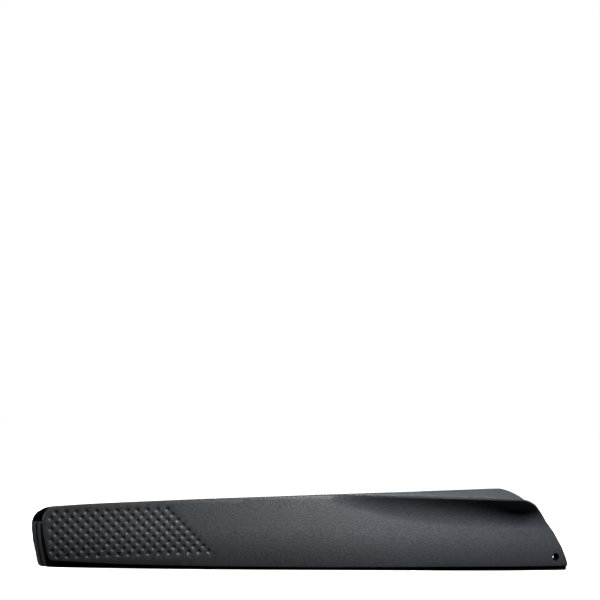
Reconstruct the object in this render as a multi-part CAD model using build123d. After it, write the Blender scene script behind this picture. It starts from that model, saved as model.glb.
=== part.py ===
from build123d import *
import math
import os

os.makedirs("parts", exist_ok=True)

# Knife blade guard: a long two-sided sheath for a kitchen knife's blade.
# Millimetres. X runs along the guard (tip end at -X, heel end at +X), Z is up,
# the closed edge is at the bottom (z = 0), the slot is open along the top,
# and the front face looks towards -Y. The parting plane is y = 0.

# ---- driving dimensions -------------------------------------------------
X_SHIFT, Z_SHIFT = -0.2, -0.2   # moves the drawing onto the box centre and down to z = 0
WALL = 1.5               # shell wall thickness
HALF_T = 7.65            # half thickness of the guard at the closed edge
HALF_T_HEEL = 3.80       # the same at the heel end
LEAN = 0.055             # the faces close in by this much per mm of height
X_TAPER0, X_TAPER1 = 40.0, 152.0
SLOT_HALF = 1.1          # half width of the blade slot between the liners
LINER_T = 0.8            # liner wall
RIM_GAP = 0.1            # half the seam between the two rims
RIM_STEP = 0.85          # the front rim's tip end stands back by this much
RIM_W = 2.6              # width of the rim seen from the side
RIM_FRONT = 4.6          # how far the front rim reaches from the parting plane
POST_R = 2.0             # studs between liner and shell
POST_X = (-136.0, -100.0, -60.0, -20.0, 20.0, 60.0)
POST_Z = 20.0
MAGNET_R = 5.0
MAGNET_T = 2.0
MAGNET_X = (-118.0, -80.0, -40.0, 0.0, 40.0, 76.0)
MAGNET_Z = 11.0
CUP_R = 6.1
HOLE_X, HOLE_Z, HOLE_R = 145.7, 7.85, 1.75
BOSS_R = 3.6
HINGE_X0, HINGE_X1 = -28.0, 96.0   # straight stretch that carries the film hinge
HINGE_T = 0.35
HINGE_Z = 0.22           # underside of the film, on the drawing
HINGE_W = 1.3
RIB_X = tuple(-130.0 + 20.0 * i for i in range(13))


def smooth(t):
    t = min(max(t, 0.0), 1.0)
    return t * t * (3.0 - 2.0 * t)


def table(x, pts):
    if x <= pts[0][0]:
        return pts[0][1]
    for (x0, y0), (x1, y1) in zip(pts, pts[1:]):
        if x <= x1:
            return y0 + (y1 - y0) * (x - x0) / (x1 - x0)
    return pts[-1][1]


# height of the walls' top edges along X
FRONT_LIP_Z = [(-154, 31.15), (-141.8, 32.25), (-120.2, 33.9), (-92.8, 35.38),
               (-65, 36.85), (-37, 38.1), (-8.5, 39.35), (8, 40.0), (15, 40.1), (30, 40.05),
               (45, 40.0), (60, 39.95), (75, 39.8), (90, 39.6), (100, 39.4),
               (110, 39.15), (118, 38.98), (154, 38.4)]
REAR_LIP_Z = [(-154, 30.8), (-141.8, 31.85), (-120.2, 33.4), (-92.8, 34.9),
              (-65, 36.35), (-37, 37.65), (-8.5, 38.95), (15, 40.15), (30, 40.8),
              (45, 41.4), (60, 41.95), (75, 42.65), (90, 43.35), (100, 43.8),
              (110, 44.32), (118, 44.62), (154, 44.9)]
# the mouth's flare: its start height, its main rise out of the face, and how
# far the very lip rolls out beyond that
FLARE_Z = [(8, 33.0), (20, 32.2), (30, 30.9), (42, 28.1), (54, 26.3), (66, 24.9), (78, 24.1),
           (90, 23.5), (102, 23.3), (154, 23.3)]
FLARE_Y = [(9, 0.0), (20, 1.35), (30, 3.0), (42, 4.9), (54, 6.5), (66, 7.9), (78, 8.9), (90, 9.7),
           (102, 10.2), (154, 10.2)]
FLARE_ROLL = [(60, 0.0), (90, 0.6), (102, 1.4), (114, 2.7), (124, 3.7), (154, 4.6)]


def half_t(x, z):
    t = smooth((x - X_TAPER0) / (X_TAPER1 - X_TAPER0))
    return HALF_T + (HALF_T_HEEL - HALF_T) * t - LEAN * z


def lip_top(x, lip, side):
    """Height of the outer face's upper edge.

    The lip is cut square to the wall: its table height is the middle of the
    cut at the front and the inner corner of the cut at the rear.
    """
    lip_z = table(x, lip)
    rise = lip_z - table(x, FLARE_Z)
    slope = 2.0 * table(x, FLARE_Y) / rise + 2.0 * table(x, FLARE_ROLL) / (0.45 * rise)
    return lip_z - (0.5 if side < 0 else 1.0) * WALL * math.sin(math.atan(slope))


def outer_y(x, z, top):
    y = half_t(x, z)
    z1 = table(x, FLARE_Z)
    if x > 9 and z > z1:
        t = (z - z1) / (top - z1)
        y += table(x, FLARE_Y) * t * t + table(x, FLARE_ROLL) * max(0.0, (t - 0.55) / 0.45) ** 2
    return y


def wall_t(y):
    """Wall thickness where the outer face stands y from the parting plane."""
    return min(WALL, max(0.65, y - SLOT_HALF - LINER_T - 0.12))


def section(x, lip, side):
    """Closed wire of one wall of the guard at x; side is -1 front, +1 rear."""
    n = 10
    top = lip_top(x, lip, side)
    z1 = min(table(x, FLARE_Z), top - 6.0)
    zs = [0.6, 8.0, 15.0, z1 - 1.5] + [z1 + (top - z1) * k / (n - 1) for k in range(1, n)]
    outer = [(outer_y(x, z, top), z) for z in zs]
    inner = []
    for i, (y, z) in enumerate(outer):
        a = outer[max(i - 1, 0)]
        b = outer[min(i + 1, len(outer) - 1)]
        dy, dz = b[0] - a[0], b[1] - a[1]
        m = math.hypot(dy, dz)
        t = wall_t(y)
        inner.append((y - t * dz / m, z + t * dy / m))
    inner[0] = (outer[0][0] - wall_t(outer[0][0]), outer[0][1])
    P = lambda yz: Vector(x, side * yz[0], yz[1])
    e1 = Spline([P(q) for q in outer])
    e2 = Line(P(outer[-1]), P(inner[-1]))
    e3 = Spline([P(q) for q in reversed(inner)])
    e4 = Line(P(inner[0]), P(outer[0]))
    return Face(Wire([e1, e2, e3, e4]))


SECTION_X = (-154.0, -120.2, -92.8, -65.0, -37.0, -8.5, 9.0, 20.0, 30.0, 42.0, 54.0,
             66.0, 78.0, 90.0, 102.0, 114.0, 124.0, 134.0, 144.0, 154.0)


def outline(points, y0, y1):
    """Prism with an XZ outline between y0 and y1."""
    w = Wire([Line(Vector(a[0], y0, a[1]), Vector(b[0], y0, b[1]))
              for a, b in zip(points, points[1:] + points[:1])])
    return Solid.extrude(Face(w), Vector(0, y1 - y0, 0))


# outlines seen from the side
SHELL_BOTTOM = [(-145.9, 4.2), (-137, 3.8), (-128, 3.4), (-116, 2.9), (-105, 2.55), (-83, 2.1),
                (-60, 1.75), (-37, 1.58), (-5, 1.5), (27, 1.65), (60, 1.9), (95, 2.15),
                (118, 2.3), (136, 2.6), (142, 2.7), (152.4, 2.95)]
FRONT_TIP = [(-142.0, 60.0), (-142.0, 32.25), (-144.2, 31.95), (-146.0, 31.6), (-147.1, 31.25), (-148.0, 30.75),
             (-148.95, 29.95), (-149.85, 28.75), (-150.55, 27.3), (-150.95, 26.0), (-151.1, 24.6), (-151.0, 22.8),
             (-150.5, 19.0), (-149.85, 14.9), (-148.6, 9.9), (-147.4, 5.9), (-147.0, 5.0), (-146.4, 4.55)]
REAR_TIP = [(-141.0, 60.0), (-141.0, 31.95), (-144.2, 31.5), (-146.1, 31.0), (-147.45, 30.45), (-148.95, 29.65),
            (-150.8, 28.3), (-151.87, 26.7), (-152.55, 25.1), (-152.9, 23.4), (-152.9, 21.9),
            (-152.4, 18.3), (-151.78, 14.4), (-150.42, 9.2), (-149.4, 5.6), (-148.7, 4.9), (-147.5, 4.6)]
FRONT_HEEL = [(153.1, 3.15), (153.3, 3.5), (153.2, 4.2), (152.4, 6.9), (151.35, 9.4), (149.67, 13.1), (147.72, 16.3),
              (144.28, 21.8), (139.93, 26.7), (135.18, 31.4), (132.18, 33.5), (129.0, 35.3), (126.1, 36.4),
              (123.6, 37.25), (121.1, 37.85), (118.6, 38.25), (116.5, 60.0)]
REAR_HEEL = [(153.1, 3.15), (153.2, 3.5), (153.0, 4.2), (151.8, 7.4), (150.5, 10.0), (148.2, 14.6), (145.9, 19.0),
             (143.0, 24.0), (140.6, 28.0), (137.4, 31.6), (135.1, 34.2), (132.9, 36.2), (130.9, 37.8),
             (128.9, 39.4), (126.7, 40.85), (124.6, 41.95), (122.3, 42.77), (119.8, 43.35), (117.5, 60.0)]
RIM_LEFT = [(-152.7, 23.85), (-152.8, 22.7), (-152.5, 18.5), (-152.05, 14.6), (-150.95, 9.5),
            (-149.95, 5.4), (-149.15, 2.7), (-148.4, 1.5), (-147.2, 1.1)]
RIM_BOTTOM = [(-139, 0.85), (-128, 0.71), (-116, 0.61), (-105, 0.53), (-83, 0.41), (-60, 0.24), (-45, 0.2),
              (-30, 0.2), (96, 0.2), (118, 0.28), (136, 0.48), (150.0, 0.68)]


def shift(solid):
    return solid.moved(Location((X_SHIFT, 0, Z_SHIFT)))


def save(name, solids):
    shape = solids[0] if len(solids) == 1 else Compound(children=list(solids))
    shape.label = name
    export_step(shape, f"parts/{name}.step")
    v = sum(s.volume for s in solids)
    bb = shape.bounding_box()
    print(f"{name:16s} solids {len(solids):2d} volume {v:9.1f} "
          f"min {bb.min.X:8.2f} {bb.min.Y:7.2f} {bb.min.Z:6.2f} max {bb.max.X:8.2f} {bb.max.Y:7.2f} {bb.max.Z:6.2f}")


def one(shape):
    s = shape.solids()
    s = sorted(s, key=lambda q: -q.volume)
    return s[0]


def ycyl(x, z, r, y0, y1):
    lo, hi = min(y0, y1), max(y0, y1)
    return Solid.make_cylinder(r, hi - lo, Plane(origin=(x, lo, z), z_dir=(0, 1, 0)))


# ---- shells ---------------------------------------------------------------
def make_shell(side, lip, tip, heel):
    secs = [section(x, lip, side) for x in SECTION_X]
    body = Solid.make_loft([s.outer_wire() for s in secs], ruled=True)
    pts = SHELL_BOTTOM + heel + tip
    lo, hi = (-40.0, 0.0) if side < 0 else (0.0, 40.0)
    body = one(body & outline(pts, lo, hi))
    body = one(body - ycyl(HOLE_X, HOLE_Z, HOLE_R, lo, hi))
    return body


# ---- liners ----------------------------------------------------------------
def rim_reach(x, z, most):
    y = half_t(x, z)
    return min(most, y - wall_t(y) - 0.12)


def make_liner(side, rim_most):
    def prism(points, a, b):
        lo, hi = min(side * a, side * b), max(side * a, side * b)
        return outline(points, lo, hi)
    foot = [(151.9, 0.68), (152.8, 1.05), (153.2, 1.9), (152.9, 3.2)]
    heel = [(151.0, 7.3), (149.8, 9.2), (147.9, 13.3), (145.8, 16.8), (142.2, 21.6), (140.9, 23.2), (139.4, 23.85)]
    left = [(x + (RIM_STEP if side < 0 else 0.0), z) for x, z in RIM_LEFT]
    outer = RIM_BOTTOM + foot + heel + left
    wall = prism(outer, SLOT_HALF, SLOT_HALF + LINER_T)
    # rim along the tip end and the closed edge, in plan no wider than the shell allows
    inner_edge = [(x + RIM_W, z) for x, z in left[:6]] + [(-145.2, 3.9), (-140, 3.5)] + \
                 [(x, z + RIM_W) for x, z in RIM_BOTTOM] + [(152.7, 0.64 + RIM_W)]
    ring = RIM_BOTTOM + foot + list(reversed(inner_edge)) + left
    ring = prism(ring, RIM_GAP, 8.0)
    xs = [-154.0, -100.0, 40.0] + [50.0 + 10.0 * i for i in range(11)]
    wires = []
    for z in (-1.0, 29.0):
        plan = [(x, side * rim_reach(x, z, rim_most)) for x in xs]
        plan = [(-154.0, 0.0)] + plan + [(150.0, 0.0)]
        wires.append(Wire([Line(Vector(a[0], a[1], z), Vector(b[0], b[1], z))
                           for a, b in zip(plan, plan[1:] + plan[:1])]))
    slab = Solid.make_loft(wires, ruled=True)
    endcap_pts = [(149.9, -1), (154.0, -1), (154.0, 6), (149.9, 6)]
    ring_main = ring & slab
    ring_end = ring & prism(endcap_pts, RIM_GAP, rim_reach(150.0, 6.0, rim_most))
    body = wall + ring_main + ring_end
    # studs up to the shell
    for x in POST_X:
        reach = rim_reach(x, POST_Z, 99.0) + 0.12 + 0.25
        body = body + ycyl(x, POST_Z, POST_R, side * (SLOT_HALF + 0.2), side * reach)
    # cups that hold the magnets
    for x in MAGNET_X:
        cup = ycyl(x, MAGNET_Z, CUP_R, side * (SLOT_HALF + 0.2), side * (SLOT_HALF + LINER_T + 1.4))
        cup = cup - ycyl(x, MAGNET_Z, MAGNET_R + 0.05, side * (SLOT_HALF + LINER_T), side * 9.0)
        body = body + cup
    # blade rests: low upright ribs on the slot side
    for x in RIB_X:
        rib = [(x - 0.5, 5.0), (x + 0.5, 5.0), (x + 0.5, 22.5), (x - 0.5, 22.5)]
        body = body + prism(rib, SLOT_HALF - 0.45, SLOT_HALF + 0.2)
    # boss round the hanging hole
    body = body + ycyl(HOLE_X, HOLE_Z, BOSS_R, side * RIM_GAP, side * rim_reach(HOLE_X, HOLE_Z + BOSS_R, 99.0))
    body = body - ycyl(HOLE_X, HOLE_Z, HOLE_R, -9.0, 9.0)
    # shallow seat for the film hinge under the rim
    top = HINGE_Z + HINGE_T + 0.03
    seat = [(HINGE_X0 - 0.3, -1.0), (HINGE_X1 + 0.3, -1.0), (HINGE_X1 + 0.3, top), (HINGE_X0 - 0.3, top)]
    body = body - prism(seat, 0.0, HINGE_W + 0.25)
    return one(body)


def make_magnets(side):
    a = SLOT_HALF + LINER_T
    return [ycyl(x, MAGNET_Z, MAGNET_R, side * a, side * (a + MAGNET_T)) for x in MAGNET_X]


front_shell = shift(make_shell(-1, FRONT_LIP_Z, FRONT_TIP, FRONT_HEEL))
rear_shell = shift(make_shell(1, REAR_LIP_Z, REAR_TIP, REAR_HEEL))
front_liner = shift(make_liner(-1, RIM_FRONT))
rear_liner = shift(make_liner(1, 99.0))
front_magnets = [shift(m) for m in make_magnets(-1)]
rear_magnets = [shift(m) for m in make_magnets(1)]
film = outline([(HINGE_X0, HINGE_Z), (HINGE_X1, HINGE_Z), (HINGE_X1, HINGE_Z + HINGE_T),
                (HINGE_X0, HINGE_Z + HINGE_T)], 0.0, HINGE_W + 0.25)
film = shift(film)

save("front_shell", [front_shell])
save("rear_shell", [rear_shell])
save("front_liner", [front_liner])
save("rear_liner", [rear_liner])
save("front_magnets", front_magnets)
save("rear_magnets", rear_magnets)
save("film_hinge", [film])
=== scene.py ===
import math
import bpy
import numpy as np
from mathutils import Matrix, Vector
from mathutils.geometry import delaunay_2d_cdt


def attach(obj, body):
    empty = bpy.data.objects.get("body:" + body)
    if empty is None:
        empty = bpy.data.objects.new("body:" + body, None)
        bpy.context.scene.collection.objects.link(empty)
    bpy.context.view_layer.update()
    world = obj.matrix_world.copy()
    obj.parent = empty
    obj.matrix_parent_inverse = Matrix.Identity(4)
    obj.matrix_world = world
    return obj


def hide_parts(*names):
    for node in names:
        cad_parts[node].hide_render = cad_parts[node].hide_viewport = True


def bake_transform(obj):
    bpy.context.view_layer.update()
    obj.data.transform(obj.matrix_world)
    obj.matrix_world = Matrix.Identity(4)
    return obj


# Knife blade guard: detailed skins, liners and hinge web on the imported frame.
# Shapes are worked out in millimetres (X along the guard, Z up, y = 0 the
# parting plane) and written in metres.

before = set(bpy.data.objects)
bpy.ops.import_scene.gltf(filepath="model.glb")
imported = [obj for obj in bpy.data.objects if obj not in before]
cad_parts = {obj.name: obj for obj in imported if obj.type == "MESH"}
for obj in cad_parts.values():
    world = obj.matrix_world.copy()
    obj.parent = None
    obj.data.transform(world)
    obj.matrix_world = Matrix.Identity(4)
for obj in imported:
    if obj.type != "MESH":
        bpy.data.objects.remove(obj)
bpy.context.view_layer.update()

MM = 0.001
X_SHIFT, Z_SHIFT = -0.2, -0.2
WALL = 1.5
HALF_T, HALF_T_HEEL, LEAN = 7.65, 3.80, 0.055
X_TAPER0, X_TAPER1 = 40.0, 152.0
SLOT_HALF, LINER_T = 1.1, 0.8
HOLE = (145.7, 7.85, 1.75)
RIM_GAP, RIM_W, RIM_FRONT, RIM_STEP = 0.1, 2.6, 4.6, 0.85


# ---------------------------------------------------------------- curves
def pchip(pts):
    """Smooth curve through a table that doesn't overshoot."""
    x = np.array([p[0] for p in pts], float)
    y = np.array([p[1] for p in pts], float)
    h = np.diff(x)
    d = np.diff(y) / h
    m = np.zeros(len(x))
    m[0], m[-1] = d[0], d[-1]
    for i in range(1, len(x) - 1):
        if d[i - 1] * d[i] > 0:
            w1, w2 = 2 * h[i] + h[i - 1], h[i] + 2 * h[i - 1]
            m[i] = (w1 + w2) / (w1 / d[i - 1] + w2 / d[i])

    def f(q):
        q = np.clip(np.asarray(q, float), x[0], x[-1])
        k = np.clip(np.searchsorted(x, q) - 1, 0, len(h) - 1)
        t = (q - x[k]) / h[k]
        t2, t3 = t * t, t * t * t
        return ((2 * t3 - 3 * t2 + 1) * y[k] + (t3 - 2 * t2 + t) * h[k] * m[k]
                + (-2 * t3 + 3 * t2) * y[k + 1] + (t3 - t2) * h[k] * m[k + 1])
    return f


FRONT_LIP_Z = pchip([(-154, 31.15), (-141.8, 32.25), (-120.2, 33.9), (-92.8, 35.38),
                     (-65, 36.85), (-37, 38.1), (-8.5, 39.35), (8, 40.0), (15, 40.1), (30, 40.05),
                     (45, 40.0), (60, 39.95), (75, 39.8), (90, 39.6), (100, 39.4),
                     (110, 39.15), (118, 38.98), (154, 38.4)])
REAR_LIP_Z = pchip([(-154, 30.8), (-141.8, 31.85), (-120.2, 33.4), (-92.8, 34.9),
                    (-65, 36.35), (-37, 37.65), (-8.5, 38.95), (15, 40.15), (30, 40.8),
                    (45, 41.4), (60, 41.95), (75, 42.65), (90, 43.35), (100, 43.8),
                    (110, 44.32), (118, 44.62), (154, 44.9)])
# how far the mouth's flare stands out of the face: its start height, its
# main rise and how far the very lip rolls out beyond that
FLARE_Z = pchip([(8, 33.0), (20, 32.2), (30, 30.9), (42, 28.1), (54, 26.3), (66, 24.9), (78, 24.1), (90, 23.5),
                 (102, 23.3), (154, 23.3)])
FLARE_Y = pchip([(9, 0.0), (20, 1.35), (30, 3.0), (42, 4.9), (54, 6.5), (66, 7.9), (78, 8.9), (90, 9.7),
                 (102, 10.2), (154, 10.2)])
FLARE_ROLL = pchip([(60, 0.0), (90, 0.6), (102, 1.4), (114, 2.7), (124, 3.7), (154, 4.6)])
SHELL_BOTTOM = pchip([(-154, 4.6), (-145.9, 4.2), (-137, 3.8), (-128, 3.4), (-116, 2.9), (-105, 2.55), (-83, 2.1),
                      (-60, 1.75), (-37, 1.58), (-5, 1.5), (27, 1.65), (60, 1.9), (95, 2.15),
                      (118, 2.3), (136, 2.6), (142, 2.7), (154, 3.0)])
RIM_BOTTOM = pchip([(-154, 1.25), (-147.0, 1.06), (-139, 0.88), (-128, 0.74), (-116, 0.64), (-105, 0.56), (-83, 0.44),
                    (-60, 0.28), (-45, 0.25), (-30, 0.24), (96, 0.24), (118, 0.28), (136, 0.48), (150.0, 0.68), (154, 0.76)])


def smooth(t):
    t = np.clip(t, 0.0, 1.0)
    return t * t * (3.0 - 2.0 * t)


def half_t(x, z):
    return HALF_T + (HALF_T_HEEL - HALF_T) * smooth((x - X_TAPER0) / (X_TAPER1 - X_TAPER0)) - LEAN * z


def lip_top(x, side):
    """Height of the outer face's upper edge: the lip is cut square to the wall."""
    lip = (FRONT_LIP_Z if side < 0 else REAR_LIP_Z)(x)
    slope = 2.0 * FLARE_Y(x) / (lip - FLARE_Z(x)) + 2.0 * FLARE_ROLL(x) / (0.45 * (lip - FLARE_Z(x)))
    return lip - (0.5 if side < 0 else 1.0) * WALL * np.sin(np.arctan(slope))


def outer_y(x, z, side):
    top, z1 = lip_top(x, side), FLARE_Z(x)
    t = np.clip((z - z1) / (top - z1), 0.0, 1.5)
    roll = np.clip((t - 0.55) / 0.45, 0.0, 1.6)
    return half_t(x, z) + FLARE_Y(x) * t * t + FLARE_ROLL(x) * roll * roll


def wall_t(y):
    return np.minimum(WALL, np.maximum(0.65, y - SLOT_HALF - LINER_T - 0.12))


def spline(points, step):
    """Points along a smooth curve through the given ones, about step apart."""
    p = np.array(points, float)
    if len(p) == 2:
        n = max(1, int(round(np.linalg.norm(p[1] - p[0]) / step)))
        return [tuple(p[0] + (p[1] - p[0]) * i / n) for i in range(n + 1)]
    out = []
    for i in range(len(p) - 1):
        p0 = p[i - 1] if i else 2 * p[0] - p[1]
        p1, p2 = p[i], p[i + 1]
        p3 = p[i + 2] if i + 2 < len(p) else 2 * p[-1] - p[-2]
        t0 = 0.0
        t1 = t0 + max(np.linalg.norm(p1 - p0), 1e-6) ** 0.5
        t2 = t1 + max(np.linalg.norm(p2 - p1), 1e-6) ** 0.5
        t3 = t2 + max(np.linalg.norm(p3 - p2), 1e-6) ** 0.5
        n = max(1, int(math.ceil(np.linalg.norm(p2 - p1) / step)))
        for k in range(n):
            t = t1 + (t2 - t1) * k / n
            a1 = p0 * (t1 - t) / (t1 - t0) + p1 * (t - t0) / (t1 - t0)
            a2 = p1 * (t2 - t) / (t2 - t1) + p2 * (t - t1) / (t2 - t1)
            a3 = p2 * (t3 - t) / (t3 - t2) + p3 * (t - t2) / (t3 - t2)
            b1 = a1 * (t2 - t) / (t2 - t0) + a2 * (t - t0) / (t2 - t0)
            b2 = a2 * (t3 - t) / (t3 - t1) + a3 * (t - t1) / (t3 - t1)
            out.append(tuple(b1 * (t2 - t) / (t2 - t1) + b2 * (t - t1) / (t2 - t1)))
    out.append(tuple(p[-1]))
    return out


def join_loops(*parts):
    """One closed loop out of runs that meet end to end."""
    loop = []
    for part in parts:
        for q in part:
            if not loop or math.hypot(q[0] - loop[-1][0], q[1] - loop[-1][1]) > 0.02:
                loop.append((float(q[0]), float(q[1])))
    if math.hypot(loop[0][0] - loop[-1][0], loop[0][1] - loop[-1][1]) <= 0.02:
        loop.pop()
    return np.array(loop)


def area2(loop):
    x, z = loop[:, 0], loop[:, 1]
    return float(np.sum(x * np.roll(z, -1) - np.roll(x, -1) * z))


def inset(loop, d):
    """The loop moved inwards by d (loop runs anticlockwise)."""
    if d == 0:
        return loop.copy()
    a = loop - np.roll(loop, 1, axis=0)
    b = np.roll(loop, -1, axis=0) - loop
    a /= np.linalg.norm(a, axis=1)[:, None]
    b /= np.linalg.norm(b, axis=1)[:, None]
    na = np.stack([-a[:, 1], a[:, 0]], 1)
    nb = np.stack([-b[:, 1], b[:, 0]], 1)
    n = na + nb
    n /= np.maximum(np.linalg.norm(n, axis=1), 1e-6)[:, None]
    c = np.maximum(np.sum(n * nb, axis=1), 0.5)
    return loop + n * (d / c)[:, None]


def inside(loop, pts):
    """Which points lie inside the loop."""
    x, z = pts[:, 0][:, None], pts[:, 1][:, None]
    x0, z0 = loop[:, 0][None], loop[:, 1][None]
    x1, z1 = np.roll(loop[:, 0], -1)[None], np.roll(loop[:, 1], -1)[None]
    cross = (z0 > z) != (z1 > z)
    with np.errstate(divide="ignore", invalid="ignore"):
        xi = x0 + (z - z0) * (x1 - x0) / np.where(z1 == z0, 1e-12, z1 - z0)
    return (np.sum(cross & (x < xi), axis=1) % 2) == 1


def gap(loop, pts):
    """Distance from each point to the loop."""
    a = loop[None]
    b = np.roll(loop, -1, axis=0)[None]
    best = np.full(len(pts), 1e9)
    for s in range(0, len(pts), 400):
        p = pts[s:s + 400][:, None]
        ab = b - a
        t = np.clip(np.sum((p - a) * ab, axis=2) / np.maximum(np.sum(ab * ab, axis=2), 1e-12), 0, 1)
        q = a + ab * t[..., None]
        best[s:s + 400] = np.min(np.linalg.norm(p - q, axis=2), axis=1)
    return best


# ---------------------------------------------------------------- meshes
def new_object(name, verts, faces, body, material, smooth_angle=32.0):
    mesh = bpy.data.meshes.new(name)
    mesh.from_pydata([(x * MM, y * MM, (z + Z_SHIFT) * MM) for x, y, z in verts], [], faces)
    mesh.validate()
    mesh.update()
    obj = bpy.data.objects.new(name, mesh)
    bpy.context.collection.objects.link(obj)
    for p in mesh.polygons:
        p.use_smooth = True
    mesh.set_sharp_from_angle(angle=math.radians(smooth_angle))
    mesh.materials.append(material)
    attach(obj, body)
    return obj


def sheet_mesh(outline, holes, radius, grid, spots=()):
    """Flat triangulation of an outline with rounding rings along each edge.

    Returns points, their depth factor (how far the rounding drops them, in mm),
    triangles, and the point numbers along each outer-most ring.
    spots are (x, z, r, depth) dimples.
    """
    loops = [outline if area2(outline) > 0 else outline[::-1]]
    for hx, hz, hr in holes:
        n = 40
        loops.append(np.array([(hx + hr * math.cos(-2 * math.pi * i / n),
                                hz + hr * math.sin(-2 * math.pi * i / n)) for i in range(n)]))
    pts, drop, edges, rims = [], [], [], []
    steps = [0.0, 22.5, 45.0, 67.5, 90.0]
    lasts = []
    for loop in loops:
        for k, a in enumerate(steps):
            d = radius * (1 - math.cos(math.radians(a)))
            ring = inset(loop, d)
            base = len(pts)
            n = len(ring)
            pts += [tuple(q) for q in ring]
            drop += [radius * (1 - math.sin(math.radians(a)))] * n
            edges += [(base + i, base + (i + 1) % n) for i in range(n)]
            if k == 0:
                rims.append(list(range(base, base + n)))
        lasts.append(ring)
    for sx, sz, sr, depth in spots:
        for rho, amount in ((1.08, 0.0), (1.0, 0.06), (0.92, 0.22), (0.77, 0.50), (0.54, 0.78), (0.27, 0.95)):
            n = 24 if rho > 0.6 else 12
            base = len(pts)
            pts += [(sx + sr * rho * math.cos(2 * math.pi * i / n),
                     sz + sr * rho * math.sin(2 * math.pi * i / n)) for i in range(n)]
            drop += [depth * amount] * n
            edges += [(base + i, base + (i + 1) % n) for i in range(n)]
        pts.append((sx, sz))
        drop.append(depth)
    # plain points in between
    g = np.array(grid, float).reshape(-1, 2)
    keep = inside(lasts[0], g)
    g = g[keep]
    keep = gap(lasts[0], g) > 0.45
    for last in lasts[1:]:
        keep &= ~inside(last, g) & (gap(last, g) > 0.45)
    g = g[keep]
    if len(spots) and len(g):
        c = np.array([(s[0], s[1]) for s in spots])
        r = np.array([s[2] for s in spots])
        far = np.ones(len(g), bool)
        for s in range(0, len(g), 500):
            dd = np.linalg.norm(g[s:s + 500][:, None] - c[None], axis=2) - r[None] * 1.10
            far[s:s + 500] = np.min(dd, axis=1) > 0.3
        g = g[far]
    pts += [tuple(q) for q in g]
    drop += [0.0] * len(g)
    res = delaunay_2d_cdt([Vector(p) for p in pts], edges, [], 0, 1e-5, True)
    out_v, out_f, orig = res[0], res[2], res[3]
    number = {}
    for i, o in enumerate(orig):
        for q in o:
            number[q] = i
    verts = np.array([(v[0], v[1]) for v in out_v])
    depth = np.zeros(len(verts))
    for i, o in enumerate(orig):
        if len(o):
            depth[i] = max(drop[q] for q in o)
    tris = np.array([f for f in out_f if len(f) == 3], int)
    cen = verts[tris].mean(axis=1)
    good = inside(loops[0], cen)
    for loop in loops[1:]:
        good &= ~inside(loop, cen)
    tris = tris[good]
    # anticlockwise seen with x right and z up
    a, b, c = verts[tris[:, 0]], verts[tris[:, 1]], verts[tris[:, 2]]
    sign = (b[:, 0] - a[:, 0]) * (c[:, 1] - a[:, 1]) - (b[:, 1] - a[:, 1]) * (c[:, 0] - a[:, 0])
    tris = tris[np.abs(sign) > 1e-9]
    sign = sign[np.abs(sign) > 1e-9]
    tris[sign < 0] = tris[sign < 0][:, ::-1]
    rims = [[number[i] for i in rim] for rim in rims]
    return verts, depth, tris, rims


def close_plate(front, back, to_front, to_back, side):
    """Closed shell out of two triangulated sheets with matching rims."""
    va, da, ta, ra = front
    vb, db, tb, rb = back
    pa = to_front(va, da)
    pb = to_back(vb, db)
    verts = [tuple(p) for p in pa] + [tuple(p) for p in pb]
    n = len(pa)
    faces = []
    # the outer sheet looks to side*Y
    for t in ta:
        faces.append((int(t[0]), int(t[1]), int(t[2])) if side < 0 else (int(t[2]), int(t[1]), int(t[0])))
    for t in tb:
        faces.append((n + int(t[2]), n + int(t[1]), n + int(t[0])) if side < 0 else (n + int(t[0]), n + int(t[1]), n + int(t[2])))
    for la, lb in zip(ra, rb):
        m = len(la)
        for i in range(m):
            j = (i + 1) % m
            q = (la[j], la[i], n + lb[i], n + lb[j])
            if side > 0:
                q = q[::-1]
            faces.append(q)
    # drop points that no face uses
    used = sorted({i for f in faces for i in f})
    renum = {o: i for i, o in enumerate(used)}
    return [verts[i] for i in used], [tuple(renum[i] for i in f) for f in faces]


def shell_maps(side, radius):
    def place(v, inward):
        x, z = v[:, 0], v[:, 1]
        e = 0.02
        f = outer_y(x, z, side)
        fx = (outer_y(x + e, z, side) - outer_y(x - e, z, side)) / (2 * e)
        fz = (outer_y(x, z + e, side) - outer_y(x, z - e, side)) / (2 * e)
        m = np.sqrt(1 + fx * fx + fz * fz)
        nrm = np.stack([-fx / m, side / m, -fz / m], 1)
        p = np.stack([x + X_SHIFT, side * f, z], 1)
        return p - nrm * inward[:, None]

    def outer(v, drop):
        t = wall_t(outer_y(v[:, 0], v[:, 1], side))
        return place(v, drop * np.minimum(1.0, t / WALL))

    def inner(v, drop):
        t = wall_t(outer_y(v[:, 0], v[:, 1], side))
        return place(v, t - drop * np.minimum(1.0, t / WALL))
    return outer, inner


# dimples near the tip: staggered rows that follow the guard's slope
def dimples():
    pitch, beta = 5.55, math.radians(2.26)
    out = []
    for row, count in enumerate((12, 13, 13, 14, 14, 15, 15, 16, 16)):
        for k in range(count):
            gx = k + (0.5 if row % 2 == 0 else 0.0)
            gy = -0.5 * row
            out.append((-146.9 + pitch * (gx * math.cos(beta) - gy * math.sin(beta)),
                        28.60 + pitch * (gx * math.sin(beta) + gy * math.cos(beta)), 1.30, 0.54))
    return out


def grid_points():
    pts = []
    xs = np.arange(-152.0, 10.0, 2.6)
    for i, x in enumerate(xs):
        for z in np.arange(3.0, 44.0, 2.6):
            pts.append((x + 0.01 * (i % 2), z))
    for i, x in enumerate(np.arange(10.6, 154.0, 1.7)):
        for z in list(np.arange(3.0, 20.0, 2.4)) + list(np.arange(21.0, 46.0, 1.0)):
            pts.append((x, z + 0.01 * (i % 2)))
    return pts


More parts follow.
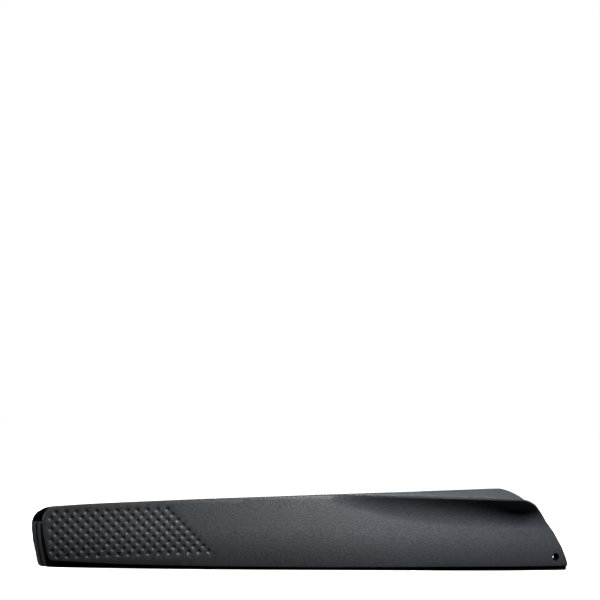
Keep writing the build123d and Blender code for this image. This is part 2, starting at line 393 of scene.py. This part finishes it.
FRONT_TIP = [(-141.8, 32.25), (-144.2, 31.95), (-146.0, 31.6), (-147.1, 31.25), (-148.0, 30.75),
             (-148.95, 29.95), (-149.85, 28.75), (-150.55, 27.3), (-150.95, 26.0), (-151.08, 24.6), (-151.0, 22.8),
             (-150.5, 19.0), (-149.85, 14.9), (-148.6, 9.9), (-147.4, 5.9)]
REAR_TIP = [(-141.8, 31.85), (-144.2, 31.45), (-146.1, 30.97), (-147.45, 30.4), (-148.95, 29.6),
            (-150.8, 28.25), (-151.85, 26.7), (-152.5, 25.1), (-152.83, 23.4), (-152.85, 21.9),
            (-152.4, 18.3), (-151.78, 14.4), (-150.42, 9.2), (-149.4, 5.6)]
FRONT_HEEL = [(152.9, 3.15), (153.25, 3.35), (153.2, 4.2), (152.4, 6.9), (151.35, 9.4), (149.67, 13.1), (147.72, 16.3),
              (144.28, 21.8), (139.93, 26.7), (135.18, 31.4), (132.18, 33.5)]
REAR_HEEL = [(152.9, 3.15), (153.15, 3.4), (153.0, 4.2), (151.8, 7.4), (150.5, 10.0), (148.2, 14.6), (145.9, 19.0),
             (143.0, 24.0), (140.6, 28.0), (137.4, 31.6), (135.1, 34.2), (132.9, 36.2), (130.9, 37.8), (128.9, 39.4)]


def shell_outline(side):
    x_toe = -146.2 if side < 0 else -147.2
    bottom = [(x, float(SHELL_BOTTOM(x))) for x in np.linspace(x_toe, 152.0, 150)]
    low = float(SHELL_BOTTOM(x_toe))
    toe = ((-147.4, 5.9), (-147.15, 5.2), (-146.8, 4.75)) if side < 0 else ((-149.4, 5.6), (-149.0, 5.0), (-148.2, 4.7))
    bottom = spline(list(toe) + [(x_toe, low)], 0.25) + bottom
    heel = spline([(152.0, float(SHELL_BOTTOM(152.0)))] + (FRONT_HEEL if side < 0 else REAR_HEEL), 1.0)
    if side < 0:
        x0 = 116.0
        corner = [(132.18, 33.5), (129.0, 35.3), (126.1, 36.4), (123.6, 37.22), (121.1, 37.8), (118.6, 38.15)]
    else:
        x0 = 116.0
        corner = [(128.9, 39.4), (126.7, 40.85), (124.6, 41.95), (122.3, 42.72), (119.8, 43.28)]
    corner = spline(corner + [(x0, float(lip_top(np.float64(x0), side)))], 0.6)
    top = [(x, float(lip_top(np.float64(x), side))) for x in np.linspace(x0, -141.8, 170)]
    tip = spline(FRONT_TIP if side < 0 else REAR_TIP, 0.6)
    return join_loops(bottom, heel, corner, top, tip)


def make_shell(name, side, body, node, material):
    outline = shell_outline(side)
    r = 0.6
    spots = dimples()
    front = sheet_mesh(outline, [HOLE], r, grid_points(), spots)
    back = sheet_mesh(outline, [HOLE], r, grid_points())
    outer, inner = shell_maps(side, r)
    verts, faces = close_plate(front, back, outer, inner, side)
    obj = new_object(name, verts, faces, body, material)
    # painted shade: the moulded edges get a darker, smoother material than the grained faces, standing in for the shade
    # they sit in
    obj.data.materials.append(EDGE_PAINTED_SHADE)
    obj.data.materials.append(BORE_PAINTED_SHADE)
    loops = [outline] + [np.array([(HOLE[0] + HOLE[2] * math.cos(a), HOLE[1] + HOLE[2] * math.sin(a))
                                   for a in np.linspace(0, 2 * math.pi, 40, endpoint=False)])]
    index = np.ones(len(faces), int)
    first = 0
    for (v, _, tris, _), outside in ((front, True), (back, False)):
        mid = v[tris].mean(axis=1)
        near = np.minimum(gap(loops[0], mid), gap(loops[1], mid))
        # painted shade: the dark edge band is fitted along the guard, widest on the lip from near the tip to x = 30 and
        # only a thin sliver elsewhere and below z = 10
        reach = np.interp(mid[:, 0], (-149, -140, 30, 75), (0.06, 0.75, 0.75, 0.06)) if outside else 0.9
        reach = np.where(mid[:, 1] < 10.0, 0.06, reach)
        index[first:first + len(tris)] = near < reach * r
        # painted shade: faces round the hole get the near-black bore material
        index[first:first + len(tris)][gap(loops[1], mid) < 0.7 * r] = 2
        first += len(tris)
    index[first + len(front[3][0]):] = 2
    obj.data.polygons.foreach_set("material_index", index)
    obj.data.update()
    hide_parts(node)
    return obj


# ---------------------------------------------------------------- liners
RIM_LEFT = [(-152.7, 23.85), (-152.76, 22.7), (-152.5, 18.5), (-152.05, 14.6), (-150.95, 9.5),
            (-149.95, 5.4), (-149.15, 2.7), (-148.4, 1.5), (-147.2, 1.1)]
RIM_HEEL = [(151.9, 0.68), (152.8, 1.0), (153.15, 1.9), (152.9, 3.2), (151.0, 7.3), (149.8, 9.2), (147.9, 13.3),
            (145.8, 16.8), (142.2, 21.6), (140.9, 23.2), (139.4, 23.85)]
POST_X = (-136.0, -100.0, -60.0, -20.0, 20.0, 60.0)
MAGNET_X = (-118.0, -80.0, -40.0, 0.0, 40.0, 76.0)
RIB_X = [-130.0 + 20.0 * i for i in range(13)]


def rim_reach(x, z, most):
    y = half_t(x, z)
    return np.minimum(most, y - wall_t(y) - 0.12)


def plate(outline, holes, radius, grid, ya, yb, side):
    """Closed plate between y = side*ya(x, z) and y = side*yb(x, z), all edges rounded."""
    outer = sheet_mesh(outline, holes, radius, grid)
    inner = sheet_mesh(outline, holes, radius, grid)

    def far(v, drop):
        x, z = v[:, 0], v[:, 1]
        return np.stack([x + X_SHIFT, side * (yb(x, z) - drop), z], 1)

    def near(v, drop):
        x, z = v[:, 0], v[:, 1]
        return np.stack([x + X_SHIFT, side * (ya(x, z) + drop), z], 1)
    return close_plate(outer, inner, far, near, side)


def outward(verts, faces):
    """The same closed mesh with every face looking outwards."""
    p = np.array(verts)
    total = 0.0
    for f in faces:
        for k in range(1, len(f) - 1):
            total += float(np.dot(p[f[0]], np.cross(p[f[k]], p[f[k + 1]])))
    return faces if total > 0 else [tuple(f[::-1]) for f in faces]


def lathe(cx, cz, profile, side, n=40):
    """Closed ring or disc round an axis along Y; profile is a closed run of (radius, y)."""
    verts, faces = [], []
    rows = []
    for r, y in profile:
        if r < 1e-6:
            rows.append([len(verts)])
            verts.append((cx + X_SHIFT, side * y, cz))
        else:
            rows.append(list(range(len(verts), len(verts) + n)))
            verts += [(cx + X_SHIFT + r * math.cos(2 * math.pi * i / n), side * y,
                       cz + r * math.sin(2 * math.pi * i / n)) for i in range(n)]
    m = len(rows)
    closed = all(len(r) > 1 for r in rows)
    for k in range(m if closed else m - 1):
        a, b = rows[k], rows[(k + 1) % m]
        for i in range(n):
            j = (i + 1) % n
            if len(a) == 1:
                f = (a[0], b[i], b[j])
            elif len(b) == 1:
                f = (a[i], a[j], b[0])
            else:
                f = (a[i], a[j], b[j], b[i])
            faces.append(f if side > 0 else f[::-1])
    return verts, faces


def rounded(r0, r1, y0, y1, e):
    """Closed profile of a tube between radii r0 < r1 and heights y0 < y1."""
    out = []
    for cy, cr, a0 in ((y0 + e, r0 + e, 180), (y1 - e, r0 + e, 90), (y1 - e, r1 - e, 0), (y0 + e, r1 - e, -90)):
        for k in range(4):
            a = math.radians(a0 - 30.0 * k)
            out.append((cr + e * math.cos(a), cy + e * math.sin(a)))
    return out


def disc(r1, y0, y1, e):
    out = [(0.0, y0)]
    for k in range(4):
        a = math.radians(-90 + 30.0 * k)
        out.append((r1 - e + e * math.cos(a), y0 + e + e * math.sin(a)))
    for k in range(4):
        a = math.radians(30.0 * k)
        out.append((r1 - e + e * math.cos(a), y1 - e + e * math.sin(a)))
    return out + [(0.0, y1)]


def make_liner(name, side, body, node, most, material):
    verts, faces = [], []

    def add(part):
        base = len(verts)
        verts.extend(part[0])
        faces.extend([tuple(base + i for i in f) for f in outward(*part)])
    flat = lambda value: (lambda x, z: np.full(len(x), float(value)))
    step = RIM_STEP if side < 0 else 0.0
    left = spline([(x + step, z) for x, z in RIM_LEFT], 0.7)
    bottom = [(x, float(RIM_BOTTOM(x))) for x in np.linspace(left[-1][0], 151.9, 130)]
    heel_low = spline(RIM_HEEL[:4], 0.4)
    inner_left = [(x + RIM_W, z) for x, z in left if z > 4.6]
    inner = inner_left + spline([(inner_left[-1][0], inner_left[-1][1]), (-146.6, 4.25), (-145.0, 3.75), (-143.0, 3.6)], 0.5)[1:]
    inner += [(x, float(RIM_BOTTOM(x)) + RIM_W) for x in np.linspace(-141.0, 151.4, 120)]
    ring = join_loops(left, bottom, heel_low, inner[::-1])
    grid = [(x, float(RIM_BOTTOM(x)) + 1.3) for x in np.linspace(-140, 150, 110)]
    grid += [(x + step + 1.3, z) for x, z in spline(RIM_LEFT[:6], 2.0)]
    add(plate(ring, [], 0.4, grid, flat(RIM_GAP), lambda x, z: rim_reach(x, z, most), side))
    # wall between the rim and the slot
    upper = spline(RIM_HEEL[3:], 1.5)
    loop = join_loops([(x - 0.4, z - 0.4) for x, z in inner], [(151.6, 2.9), (152.5, 2.9)], upper,
                      [(x, 23.85) for x in np.linspace(139.0, inner[0][0] - 0.4, 100)])
    gridw = [(x, z) for x in np.arange(-148, 150, 4.0) for z in np.arange(4.5, 23.0, 4.0)]
    add(plate(loop, [(HOLE[0], HOLE[1], 3.4)], 0.15, gridw, flat(SLOT_HALF), flat(SLOT_HALF + LINER_T), side))
    for x in POST_X:
        reach = float(rim_reach(np.float64(x), np.float64(20.0), 99.0)) + 0.1
        add(lathe(x, 20.0, disc(2.0, SLOT_HALF + 0.3, reach, 0.15), side, 28))
    for x in MAGNET_X:
        add(lathe(x, 11.0, rounded(5.05, 6.1, SLOT_HALF + 0.3, SLOT_HALF + LINER_T + 1.4, 0.2), side))
    for x in RIB_X:
        rib = join_loops([(x - 0.5, 22.5), (x - 0.5, 5.0)], [(x + 0.5, 5.0), (x + 0.5, 22.5)])
        add(plate(rib, [], 0.18, [], flat(SLOT_HALF - 0.45), flat(SLOT_HALF + 0.3), side))
    reach = float(rim_reach(np.float64(HOLE[0]), np.float64(HOLE[1] + 3.6), 99.0))
    add(lathe(HOLE[0], HOLE[1], rounded(HOLE[2], 3.6, RIM_GAP, reach, 0.15), side))
    obj = new_object(name, verts, faces, body, material)
    # painted shade: the hole's inner wall gets the near-black material of the shells' painted-shade edges
    obj.data.materials.append(BORE_PAINTED_SHADE)
    mid = np.array([np.mean([verts[i] for i in f], axis=0) for f in faces])
    painted_shade_bore = np.hypot(mid[:, 0] - X_SHIFT - HOLE[0], mid[:, 2] - HOLE[1]) < HOLE[2] + 0.45
    obj.data.polygons.foreach_set("material_index", painted_shade_bore.astype(int))
    obj.data.update()
    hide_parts(node)
    return obj


def make_film(name, material):
    """Thin web under both rims, where the two halves meet."""
    x0, x1 = -28.0, 96.0
    half, t, z0 = 1.28, 0.35, 0.21
    prof = []
    ys = np.linspace(-half, half + 0.2, 25)
    for y in ys:
        prof.append((float(y), z0))
    for y in ys[::-1]:
        prof.append((float(y), z0 + t))
    xs = np.linspace(x0, x1, 42)
    verts = [(x + X_SHIFT, y, z) for x in xs for y, z in prof]
    m = len(prof)
    faces = []
    for k in range(len(xs) - 1):
        for i in range(m):
            j = (i + 1) % m
            faces.append((k * m + i, k * m + j, (k + 1) * m + j, (k + 1) * m + i))
    faces.append(tuple(range(m - 1, -1, -1)))
    faces.append(tuple((len(xs) - 1) * m + i for i in range(m)))
    mesh = bpy.data.meshes.new(name)
    mesh.from_pydata([(x * MM, y * MM, (z + Z_SHIFT) * MM) for x, y, z in verts], [], outward(verts, faces))
    mesh.validate()
    mesh.update()
    obj = bpy.data.objects.new(name, mesh)
    bpy.context.collection.objects.link(obj)
    for p in mesh.polygons:
        p.use_smooth = True
    mesh.set_sharp_from_angle(angle=math.radians(32))
    mesh.materials.append(material)
    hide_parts("film_hinge")
    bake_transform(obj)
    return obj


# ---------------------------------------------------------------- materials
def clear_nodes(mat):
    mat.use_nodes = True
    nt = mat.node_tree
    nt.nodes.clear()
    return nt


def plastic(name, dark, light, rough, grain_scale, grain, spec=0.5):
    """Moulded matte plastic: faint mottling, fine grain in the gloss and relief."""
    mat = bpy.data.materials.new(name)
    nt = clear_nodes(mat)
    n, l = nt.nodes, nt.links
    out = n.new("ShaderNodeOutputMaterial")
    bsdf = n.new("ShaderNodeBsdfPrincipled")
    tc = n.new("ShaderNodeTexCoord")
    big = n.new("ShaderNodeTexNoise")
    big.inputs["Scale"].default_value = 60.0
    big.inputs["Detail"].default_value = 4.0
    fine = n.new("ShaderNodeTexNoise")
    fine.inputs["Scale"].default_value = grain_scale
    fine.inputs["Detail"].default_value = 3.0
    fine.inputs["Roughness"].default_value = 0.6
    ramp = n.new("ShaderNodeMix")
    ramp.data_type = "RGBA"
    ramp.inputs[6].default_value = (*dark, 1)
    ramp.inputs[7].default_value = (*light, 1)
    # where the big and the fine mottling meet
    both = n.new("ShaderNodeMapRange")
    both.inputs["From Min"].default_value = 0.32
    both.inputs["From Max"].default_value = 0.68
    blend = n.new("ShaderNodeMix")
    blend.data_type = "FLOAT"
    blend.inputs[0].default_value = 0.7
    rmap = n.new("ShaderNodeMapRange")
    rmap.inputs["From Min"].default_value = 0.3
    rmap.inputs["From Max"].default_value = 0.7
    rmap.inputs["To Min"].default_value = rough - 0.05
    rmap.inputs["To Max"].default_value = rough + 0.06
    bump = n.new("ShaderNodeBump")
    bump.inputs["Strength"].default_value = grain
    bump.inputs["Distance"].default_value = 0.0001
    l.new(tc.outputs["Object"], big.inputs["Vector"])
    l.new(tc.outputs["Object"], fine.inputs["Vector"])
    l.new(fine.outputs["Fac"], both.inputs["Value"])
    l.new(big.outputs["Fac"], blend.inputs[2])
    l.new(both.outputs["Result"], blend.inputs[3])
    l.new(blend.outputs[0], ramp.inputs["Factor"])
    l.new(ramp.outputs[2], bsdf.inputs["Base Color"])
    l.new(fine.outputs["Fac"], rmap.inputs["Value"])
    l.new(rmap.outputs["Result"], bsdf.inputs["Roughness"])
    l.new(fine.outputs["Fac"], bump.inputs["Height"])
    l.new(bump.outputs["Normal"], bsdf.inputs["Normal"])
    bsdf.inputs["Specular IOR Level"].default_value = spec
    l.new(bsdf.outputs["BSDF"], out.inputs["Surface"])
    return mat


def nickel(name):
    mat = bpy.data.materials.new(name)
    nt = clear_nodes(mat)
    n, l = nt.nodes, nt.links
    out = n.new("ShaderNodeOutputMaterial")
    bsdf = n.new("ShaderNodeBsdfPrincipled")
    tc = n.new("ShaderNodeTexCoord")
    noise = n.new("ShaderNodeTexNoise")
    noise.inputs["Scale"].default_value = 900.0
    rmap = n.new("ShaderNodeMapRange")
    rmap.inputs["To Min"].default_value = 0.16
    rmap.inputs["To Max"].default_value = 0.3
    tint = n.new("ShaderNodeMix")
    tint.data_type = "RGBA"
    tint.inputs[6].default_value = (0.62, 0.61, 0.58, 1)
    tint.inputs[7].default_value = (0.72, 0.71, 0.69, 1)
    l.new(tc.outputs["Object"], noise.inputs["Vector"])
    l.new(noise.outputs["Fac"], rmap.inputs["Value"])
    l.new(noise.outputs["Fac"], tint.inputs["Factor"])
    l.new(tint.outputs[2], bsdf.inputs["Base Color"])
    l.new(rmap.outputs["Result"], bsdf.inputs["Roughness"])
    bsdf.inputs["Metallic"].default_value = 1.0
    l.new(bsdf.outputs["BSDF"], out.inputs["Surface"])
    return mat


SHELL = plastic("shell_plastic", (0.0205, 0.0245, 0.0285), (0.0415, 0.0470, 0.0520), 0.44, 1150.0, 1.0)
# painted shade: near-black, low-gloss edge material standing in for shade on the shells' edges
EDGE_PAINTED_SHADE = plastic("edge_painted_shade", (0.008, 0.0085, 0.009), (0.011, 0.0115, 0.012), 0.62, 2000.0, 0.2, 0.16)
# painted shade: near-black, unshiny material for the hole's inner wall, standing in for shade there
BORE_PAINTED_SHADE = plastic("bore_painted_shade", (0.005, 0.0053, 0.0056), (0.007, 0.0073, 0.0077), 0.80, 2000.0, 0.2, 0.0)
LINER = plastic("liner_plastic", (0.026, 0.026, 0.028), (0.034, 0.034, 0.036), 0.40, 2000.0, 0.2)
FILM = plastic("film_plastic", (0.026, 0.026, 0.028), (0.034, 0.034, 0.036), 0.36, 1500.0, 0.15)
NICKEL = nickel("magnet_nickel")

front_skin = make_shell("front_skin", -1, "front_half", "front_shell", SHELL)
rear_skin = make_shell("rear_skin", 1, "rear_half", "rear_shell", SHELL)

for node in ("front_magnets", "rear_magnets"):
    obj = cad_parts[node]
    obj.data.materials.clear()
    obj.data.materials.append(NICKEL)
make_liner("front_inner", -1, "front_half", "front_liner", RIM_FRONT, LINER)
make_liner("rear_inner", 1, "rear_half", "rear_liner", 99.0, LINER)
make_film("hinge_web", FILM)

# ---------------------------------------------------------------- stage
def stage_material(name, value, rough):
    mat = bpy.data.materials.new(name)
    nt = clear_nodes(mat)
    n, l = nt.nodes, nt.links
    out = n.new("ShaderNodeOutputMaterial")
    bsdf = n.new("ShaderNodeBsdfPrincipled")
    noise = n.new("ShaderNodeTexNoise")
    noise.inputs["Scale"].default_value = 3.0
    mix = n.new("ShaderNodeMix")
    mix.data_type = "RGBA"
    mix.inputs[6].default_value = (value, value, value, 1)
    mix.inputs[7].default_value = (value * 0.99, value * 0.99, value * 0.99, 1)
    l.new(noise.outputs["Fac"], mix.inputs["Factor"])
    l.new(mix.outputs[2], bsdf.inputs["Base Color"])
    bsdf.inputs["Roughness"].default_value = rough
    bsdf.inputs["Specular IOR Level"].default_value = 0.0
    l.new(bsdf.outputs["BSDF"], out.inputs["Surface"])
    return mat


mesh = bpy.data.meshes.new("floor")
s = 12.0
mesh.from_pydata([(-s, -s, -0.0002), (s, -s, -0.0002), (s, s, -0.0002), (-s, s, -0.0002)], [], [(0, 1, 2, 3)])
floor = bpy.data.objects.new("floor", mesh)
bpy.context.collection.objects.link(floor)
floor.data.materials.append(stage_material("floor_white", 0.9, 0.9))

floor.visible_diffuse = False
floor.visible_glossy = False

scene = bpy.context.scene
world = bpy.data.worlds.new("studio")
world.use_nodes = True
bg = world.node_tree.nodes["Background"]
bg.inputs["Color"].default_value = (1.0, 1.0, 1.0, 1)
bg.inputs["Strength"].default_value = 1.0
world.cycles_visibility.diffuse = False
world.cycles_visibility.glossy = False
scene.world = world


def aim(o, loc, target):
    o.location = loc
    d = Vector(target) - Vector(loc)
    o.rotation_euler = d.to_track_quat("-Z", "Y").to_euler()


def softbox(name, loc, target, size_x, size_y, power):
    light = bpy.data.lights.new(name, "AREA")
    light.shape = "RECTANGLE"
    light.size = size_x
    light.size_y = size_y
    light.energy = power
    o = bpy.data.objects.new(name, light)
    bpy.context.collection.objects.link(o)
    aim(o, loc, target)
    return o


def only_for(light_obj, *objs):
    """The light reaches just these objects, and nothing else blocks it."""
    lit = bpy.data.collections.new(light_obj.name + "_lit")
    for q in objs:
        lit.objects.link(q)
    light_obj.light_linking.receiver_collection = lit
    light_obj.light_linking.blocker_collection = lit


def past(light_obj, *objs):
    """These objects don't stand in the light's way."""
    skipped = bpy.data.collections.new(light_obj.name + "_past")
    for q in objs:
        skipped.objects.link(q)
    light_obj.light_linking.blocker_collection = skipped
    for entry in skipped.collection_objects:
        entry.light_linking.link_state = "EXCLUDE"


sun = bpy.data.lights.new("floor_wash", "SUN")
sun.energy = 4.0
sun.angle = math.radians(60)
sun_obj = bpy.data.objects.new("floor_wash", sun)
bpy.context.collection.objects.link(sun_obj)
aim(sun_obj, (0, 0, 2), (0, 0, 0))
only_for(sun_obj, floor)

KEY = softbox("key", (0.088, -0.125, 0.142), (0.068, -0.006, 0.024), 0.05, 0.045, 0.83)
KEY2 = softbox("key_tip", (-0.06, -0.14, 0.17), (-0.06, -0.006, 0.03), 0.10, 0.045, 0.155)
FILL = softbox("fill", (-1.0, -0.45, 1.0), (-0.1, 0, 0.02), 0.8, 0.8, 3.0)
SIDE = softbox("side", (-0.9, 0.16, 0.30), (-0.15, 0, 0.015), 0.5, 0.5, 5.0)
BACK = softbox("back", (0.1, 0.7, 0.8), (0, 0, 0.02), 0.8, 0.6, 5.0)
BACK2 = softbox("back_low", (0.30, 0.85, 0.36), (0.02, 0.008, 0.02), 0.6, 0.4, 9.0)

# flag below the key: it only shades the lower part of the front face
mesh = bpy.data.meshes.new("flag")
top = [(-0.35, 0.0550), (-0.16, 0.0550), (-0.08, 0.0558), (-0.02, 0.0568), (0.02, 0.0568), (0.06, 0.0562), (0.12, 0.0558), (0.35, 0.0558)]
mesh.from_pydata([(x, -0.0521, z) for x, z in top] + [(0.35, -0.0848, 0.0261), (-0.35, -0.0848, 0.0261)],
                 [], [tuple(range(len(top) + 2))])
flag = bpy.data.objects.new("flag", mesh)
bpy.context.collection.objects.link(flag)
flag.data.materials.append(stage_material("flag_black", 0.02, 0.9))
flag.visible_camera = flag.visible_diffuse = flag.visible_glossy = flag.visible_transmission = False

# card in the slot's tip end: it keeps the rear wall's inside there in the dark
mesh = bpy.data.meshes.new("card")
mesh.from_pydata([(-0.158, 0.0038, 0.0237), (-0.1405, 0.0038, 0.0237), (-0.1405, 0.0038, 0.037), (-0.158, 0.0038, 0.037)],
                 [], [(0, 1, 2, 3)])
card = bpy.data.objects.new("card", mesh)
bpy.context.collection.objects.link(card)
card.data.materials.append(flag.data.materials[0])
card.visible_camera = card.visible_diffuse = card.visible_glossy = card.visible_transmission = False
for lamp in (BACK, BACK2, SIDE):
    past(lamp, flag, card)

# camera: fitted to the photograph's edges, hole and dimple rows
cam = bpy.data.cameras.new("camera")
cam.sensor_width = 36.0
cam.sensor_fit = "HORIZONTAL"
cam.lens = 198.0
cam.clip_start = 0.05
cam.clip_end = 60.0
cam_obj = bpy.data.objects.new("camera", cam)
bpy.context.collection.objects.link(cam_obj)
right = Vector((0.9153682, -0.40181417, 0.02542509))
down = Vector((0.03722476, 0.02158416, -0.99907379))
ahead = Vector((0.40089322, 0.91546682, 0.03471489))
rot = Matrix((right, -down, -ahead)).transposed()
cam_obj.matrix_world = Matrix.Translation(((-707.65946 + X_SHIFT) * MM, -1595.7613 * MM, (81.81274 + Z_SHIFT) * MM)) @ rot.to_4x4()
scene.camera = cam_obj

scene.view_settings.view_transform = "Standard"
scene.view_settings.look = "None"
